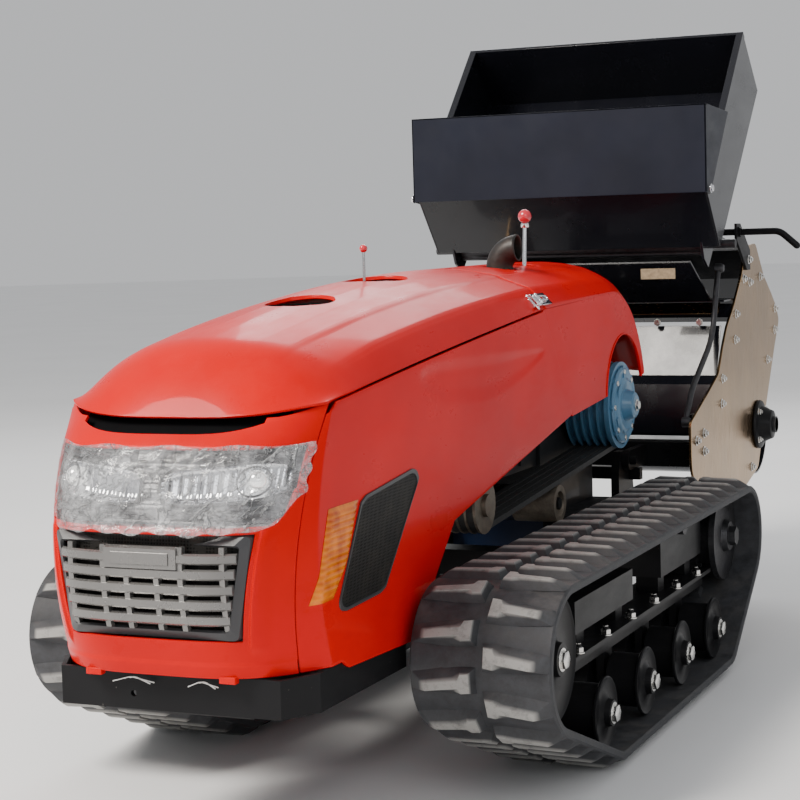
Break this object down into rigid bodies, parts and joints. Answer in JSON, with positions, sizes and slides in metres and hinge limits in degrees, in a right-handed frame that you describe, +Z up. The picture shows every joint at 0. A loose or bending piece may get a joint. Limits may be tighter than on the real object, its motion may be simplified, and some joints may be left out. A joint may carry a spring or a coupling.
{
  "type": "tracked field machine with rear hopper",
  "caption": "Small rubber-track field machine with a tilting red bonnet, belt-driven running gear and a rear implement housing that carries a feed hopper with a folding flap.",
  "frame": {"origin": "on the ground, at the middle of the bounding box", "axes": "+Z up; the bonnet faces -Y and the hopper is at +Y; +X is the machine's left side"},
  "size_m": [0.926, 2.658, 1.342],
  "materials": {
    "track_rubber": "matte, dusty, with grey worn tread tops",
    "black_paint": "gloss black paint",
    "dark_iron": "dark cast iron",
    "gearbox_paint": "dark blue gloss paint",
    "engine_paint": "dark grey paint",
    "float_steel": "thin bright wire with a small red ball",
    "blue_paint": "satin blue paint on a grooved wheel",
    "belt_rubber": "black rubber V-belts",
    "pulley_iron": "grey-brown cast iron",
    "exhaust_iron": "grey-brown heat-stained pipe",
    "red_paint": "high gloss red paint",
    "lamp_reflector": "bright reflector bowl",
    "lamp_film": "clear lens under a clear protective film",
    "grille_plastic": "black gloss slats on dark mesh",
    "amber_lens": "amber lens with fine ribs",
    "mesh_black": "black perforated mesh",
    "bright_chrome": "bright plated steel",
    "hopper_paint": "near-black gloss paint",
    "flap_paint": "slate-coloured gloss paint",
    "stainless": "stainless steel sheet with warm reflections",
    "zinc_bolts": "bright zinc-plated bolts"
  },
  "bodies": {
    "chassis": {"chassis_frame": "black_paint", "front_bumper": "black_paint", "skid_guard": "black_paint", "gearbox": "gearbox_paint", "axle_tubes": "black_paint", "engine_block": "engine_paint", "radiator_tank": "engine_paint", "fuel_tank": "black_paint", "drive_belts": "belt_rubber", "exhaust_pipe": "exhaust_iron", "side_panel_left": "red_paint", "side_panel_right": "red_paint", "rear_cover": "red_paint", "marker_lamps": "amber_lens", "vent_meshes": "mesh_black", "track_frame_left": "black_paint", "track_frame_right": "black_paint", "track_belt_left": "track_rubber", "track_belt_right": "track_rubber"},
    "hood": {"nose_panel": "red_paint", "hood_top": "red_paint", "headlamp_unit": "lamp_reflector", "headlamp_lens": "lamp_film", "grille": "grille_plastic"},
    "implement": {"hopper": "hopper_paint", "side_plate_left": "stainless", "side_plate_right": "stainless", "implement_housing": "hopper_paint", "hitch_frame": "black_paint", "bearing_housings": "black_paint", "brace_rods": "dark_iron", "implement_bolts": "zinc_bolts"},
    "hood_latch_left": {"hood_latch_left": "bright_chrome"},
    "hood_latch_right": {"hood_latch_right": "bright_chrome"},
    "drive_sprocket_left": {"drive_sprocket_left": "dark_iron"},
    "idler_yoke_left": {"idler_yoke_left": "black_paint"},
    "front_idler_left": {"front_idler_left": "black_paint"},
    "track_roller_left_1": {"track_roller_left_1": "black_paint"},
    "track_roller_left_2": {"track_roller_left_2": "black_paint"},
    "track_roller_left_3": {"track_roller_left_3": "black_paint"},
    "track_roller_left_4": {"track_roller_left_4": "black_paint"},
    "carrier_roller_left": {"carrier_roller_left": "dark_iron"},
    "drive_sprocket_right": {"drive_sprocket_right": "dark_iron"},
    "idler_yoke_right": {"idler_yoke_right": "black_paint"},
    "front_idler_right": {"front_idler_right": "black_paint"},
    "track_roller_right_1": {"track_roller_right_1": "black_paint"},
    "track_roller_right_2": {"track_roller_right_2": "black_paint"},
    "track_roller_right_3": {"track_roller_right_3": "black_paint"},
    "track_roller_right_4": {"track_roller_right_4": "black_paint"},
    "carrier_roller_right": {"carrier_roller_right": "dark_iron"},
    "clutch_pulley": {"clutch_pulley": "blue_paint"},
    "countershaft_pulley": {"countershaft_pulley": "pulley_iron"},
    "metering_shaft": {"metering_shaft": "dark_iron"},
    "rotor": {"rotor": "dark_iron"},
    "tension_arm": {"tension_arm": "black_paint"},
    "tension_pulley": {"tension_pulley": "pulley_iron"},
    "stop_lever": {"stop_lever": "bright_chrome"},
    "water_float": {"water_float": "float_steel"},
    "hopper_flap": {"hopper_flap": "flap_paint"},
    "feed_handle": {"feed_handle": "black_paint"}
  },
  "joints": [
    {"name": "hood_tilt", "type": "hinge", "parent": "chassis", "child": "hood", "pos_m": [0, -1.265, 0.296], "axis": [1, 0, 0], "range_deg": [0, 50]},
    {"name": "latch_left", "type": "hinge", "parent": "hood", "child": "hood_latch_left", "pos_m": [0.2096, -0.279, 0.76891], "axis": [0.6947, 0, -0.7193], "range_deg": [0, 70]},
    {"name": "latch_right", "type": "hinge", "parent": "hood", "child": "hood_latch_right", "pos_m": [-0.2096, -0.279, 0.76891], "axis": [0.6947, 0, 0.7193], "range_deg": [0, 70]},
    {"name": "sprocket_spin_left", "type": "hinge", "parent": "chassis", "child": "drive_sprocket_left", "pos_m": [0.348, 0.322, 0.252], "axis": [1, 0, 0], "continuous": true},
    {"name": "tension_left", "type": "slide", "parent": "chassis", "child": "idler_yoke_left", "axis": [0, 1, 0], "range_m": [0, 0.03]},
    {"name": "idler_spin_left", "type": "hinge", "parent": "idler_yoke_left", "child": "front_idler_left", "pos_m": [0.348, -0.822, 0.238], "axis": [1, 0, 0], "continuous": true},
    {"name": "roller_spin_left_1", "type": "hinge", "parent": "chassis", "child": "track_roller_left_1", "pos_m": [0.348, -0.566, 0.092], "axis": [1, 0, 0], "continuous": true},
    {"name": "roller_spin_left_2", "type": "hinge", "parent": "chassis", "child": "track_roller_left_2", "pos_m": [0.348, -0.328, 0.092], "axis": [1, 0, 0], "continuous": true},
    {"name": "roller_spin_left_3", "type": "hinge", "parent": "chassis", "child": "track_roller_left_3", "pos_m": [0.348, -0.09, 0.092], "axis": [1, 0, 0], "continuous": true},
    {"name": "roller_spin_left_4", "type": "hinge", "parent": "chassis", "child": "track_roller_left_4", "pos_m": [0.348, 0.148, 0.092], "axis": [1, 0, 0], "continuous": true},
    {"name": "carrier_spin_left", "type": "hinge", "parent": "chassis", "child": "carrier_roller_left", "pos_m": [0.348, 0.01, 0.3226], "axis": [1, 0, 0], "continuous": true},
    {"name": "sprocket_spin_right", "type": "hinge", "parent": "chassis", "child": "drive_sprocket_right", "pos_m": [-0.348, 0.322, 0.252], "axis": [1, 0, 0], "continuous": true},
    {"name": "tension_right", "type": "slide", "parent": "chassis", "child": "idler_yoke_right", "axis": [0, 1, 0], "range_m": [0, 0.03]},
    {"name": "idler_spin_right", "type": "hinge", "parent": "idler_yoke_right", "child": "front_idler_right", "pos_m": [-0.348, -0.822, 0.238], "axis": [1, 0, 0], "continuous": true},
    {"name": "roller_spin_right_1", "type": "hinge", "parent": "chassis", "child": "track_roller_right_1", "pos_m": [-0.348, -0.566, 0.092], "axis": [1, 0, 0], "continuous": true},
    {"name": "roller_spin_right_2", "type": "hinge", "parent": "chassis", "child": "track_roller_right_2", "pos_m": [-0.348, -0.328, 0.092], "axis": [1, 0, 0], "continuous": true},
    {"name": "roller_spin_right_3", "type": "hinge", "parent": "chassis", "child": "track_roller_right_3", "pos_m": [-0.348, -0.09, 0.092], "axis": [1, 0, 0], "continuous": true},
    {"name": "roller_spin_right_4", "type": "hinge", "parent": "chassis", "child": "track_roller_right_4", "pos_m": [-0.348, 0.148, 0.092], "axis": [1, 0, 0], "continuous": true},
    {"name": "carrier_spin_right", "type": "hinge", "parent": "chassis", "child": "carrier_roller_right", "pos_m": [-0.348, 0.01, 0.3226], "axis": [1, 0, 0], "continuous": true},
    {"name": "engine_spin", "type": "hinge", "parent": "chassis", "child": "clutch_pulley", "pos_m": [0.13, 0.275, 0.529], "axis": [1, 0, 0], "continuous": true},
    {"name": "countershaft_spin", "type": "hinge", "parent": "chassis", "child": "countershaft_pulley", "pos_m": [0.13, -0.51, 0.427], "axis": [1, 0, 0], "continuous": true},
    {"name": "metering_spin", "type": "hinge", "parent": "implement", "child": "metering_shaft", "pos_m": [0, 0.648, 0.858], "axis": [1, 0, 0], "continuous": true},
    {"name": "rotor_spin", "type": "hinge", "parent": "implement", "child": "rotor", "pos_m": [0, 1.084, 0.407], "axis": [1, 0, 0], "continuous": true},
    {"name": "tension_arm_swing", "type": "hinge", "parent": "chassis", "child": "tension_arm", "pos_m": [0.099, 0.02, 0.339], "axis": [1, 0, 0], "range_deg": [0, 10]},
    {"name": "tension_pulley_spin", "type": "hinge", "parent": "tension_arm", "child": "tension_pulley", "pos_m": [0.15, -0.105, 0.37325], "axis": [1, 0, 0], "continuous": true},
    {"name": "stop_lever_swing", "type": "hinge", "parent": "chassis", "child": "stop_lever", "pos_m": [0.06, 0.08, 0.7], "axis": [1, 0, 0], "range_deg": [-8, 8]},
    {"name": "float_rise", "type": "slide", "parent": "chassis", "child": "water_float", "axis": [0, 0, 1], "range_m": [0, 0.025]},
    {"name": "implement_lift", "type": "hinge", "parent": "chassis", "child": "implement", "pos_m": [0, 0.47, 0.388], "axis": [1, 0, 0], "range_deg": [0, 6]},
    {"name": "flap_fold", "type": "hinge", "parent": "implement", "child": "hopper_flap", "pos_m": [0, 0.486, 0.979], "axis": [1, 0, 0], "range_deg": [-43, 0]},
    {"name": "feed_handle_turn", "type": "hinge", "parent": "implement", "child": "feed_handle", "pos_m": [0, 0.887, 0.882], "axis": [1, 0, 0], "range_deg": [-40, 60]}
  ],
  "couplings": [
    {"joint": "idler_spin_left", "follows": "sprocket_spin_left", "ratio": 0.86667},
    {"joint": "roller_spin_left_1", "follows": "sprocket_spin_left", "ratio": 1.4677},
    {"joint": "roller_spin_left_2", "follows": "sprocket_spin_left", "ratio": 1.4677},
    {"joint": "roller_spin_left_3", "follows": "sprocket_spin_left", "ratio": 1.4677},
    {"joint": "roller_spin_left_4", "follows": "sprocket_spin_left", "ratio": 1.4677},
    {"joint": "carrier_spin_left", "follows": "sprocket_spin_left", "ratio": 4.55},
    {"joint": "idler_spin_right", "follows": "sprocket_spin_right", "ratio": 0.86667},
    {"joint": "roller_spin_right_1", "follows": "sprocket_spin_right", "ratio": 1.4677},
    {"joint": "roller_spin_right_2", "follows": "sprocket_spin_right", "ratio": 1.4677},
    {"joint": "roller_spin_right_3", "follows": "sprocket_spin_right", "ratio": 1.4677},
    {"joint": "roller_spin_right_4", "follows": "sprocket_spin_right", "ratio": 1.4677},
    {"joint": "carrier_spin_right", "follows": "sprocket_spin_right", "ratio": 4.55},
    {"joint": "countershaft_spin", "follows": "engine_spin", "ratio": 1.9419},
    {"joint": "tension_pulley_spin", "follows": "engine_spin", "ratio": -2.45}
  ]
}
